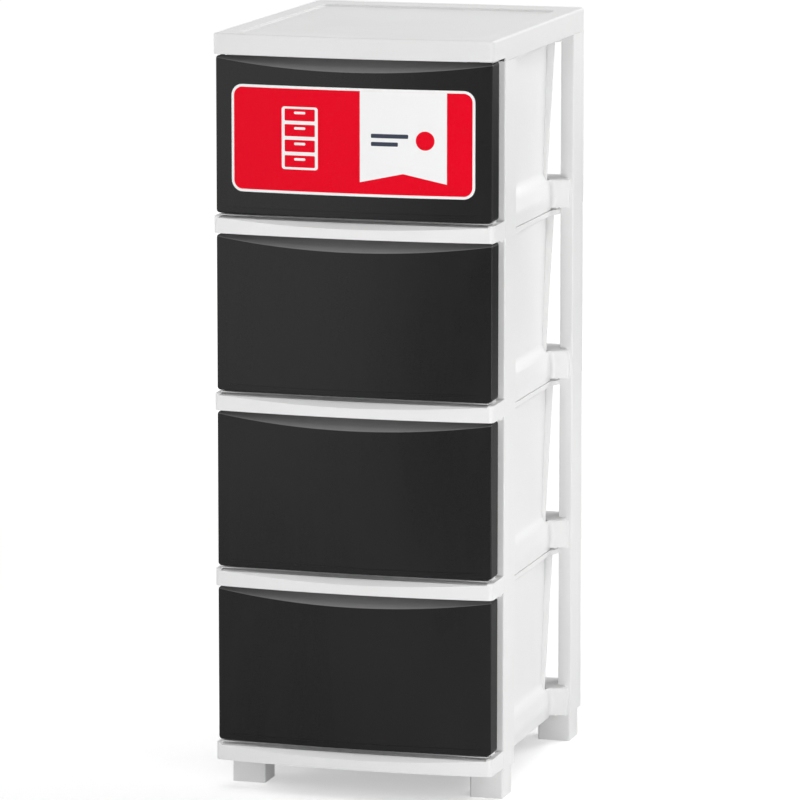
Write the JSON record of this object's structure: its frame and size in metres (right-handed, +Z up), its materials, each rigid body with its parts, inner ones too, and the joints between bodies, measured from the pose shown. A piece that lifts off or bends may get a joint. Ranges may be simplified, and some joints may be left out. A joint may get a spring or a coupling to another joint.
{
  "type": "plastic drawer tower",
  "caption": "Tall narrow plastic storage tower: a white frame of stacked side frames and bowed front rails with deep charcoal drawers that slide out to the front.",
  "frame": {"origin": "on the floor under the middle of the tower, at the centre of the base of its bounding box", "axes": "+Z up, -Y out of the drawer fronts, +X to the right of someone facing the drawers"},
  "size_m": [0.306, 0.39, 0.816],
  "materials": {
    "white_plastic": "satin, lightly grained",
    "charcoal_plastic": "satin, fine grain",
    "label_film": "printed film, semi-gloss"
  },
  "bodies": {
    "frame": {"top_cover": "white_plastic", "side_frame_right_1": "white_plastic", "side_frame_left_1": "white_plastic", "side_frame_right_2": "white_plastic", "side_frame_left_2": "white_plastic", "side_frame_right_3": "white_plastic", "side_frame_left_3": "white_plastic", "side_frame_right_4": "white_plastic", "side_frame_left_4": "white_plastic", "front_rail_1": "white_plastic", "front_rail_2": "white_plastic", "front_rail_3": "white_plastic", "front_rail_4": "white_plastic", "rear_rail_1": "white_plastic", "rear_rail_2": "white_plastic", "rear_rail_3": "white_plastic", "rear_rail_4": "white_plastic", "foot_front_right": "white_plastic", "foot_front_left": "white_plastic", "foot_rear_right": "white_plastic", "foot_rear_left": "white_plastic"},
    "drawer_1": {"drawer_1": "charcoal_plastic", "front_label": "label_film"},
    "drawer_2": {"drawer_2": "charcoal_plastic"},
    "drawer_3": {"drawer_3": "charcoal_plastic"},
    "drawer_4": {"drawer_4": "charcoal_plastic"}
  },
  "joints": [
    {"name": "drawer_1_slide", "type": "slide", "parent": "frame", "child": "drawer_1", "axis": [0, -1, 0], "range_m": [0, 0.24]},
    {"name": "drawer_2_slide", "type": "slide", "parent": "frame", "child": "drawer_2", "axis": [0, -1, 0], "range_m": [0, 0.24]},
    {"name": "drawer_3_slide", "type": "slide", "parent": "frame", "child": "drawer_3", "axis": [0, -1, 0], "range_m": [0, 0.24]},
    {"name": "drawer_4_slide", "type": "slide", "parent": "frame", "child": "drawer_4", "axis": [0, -1, 0], "range_m": [0, 0.24]}
  ]
}
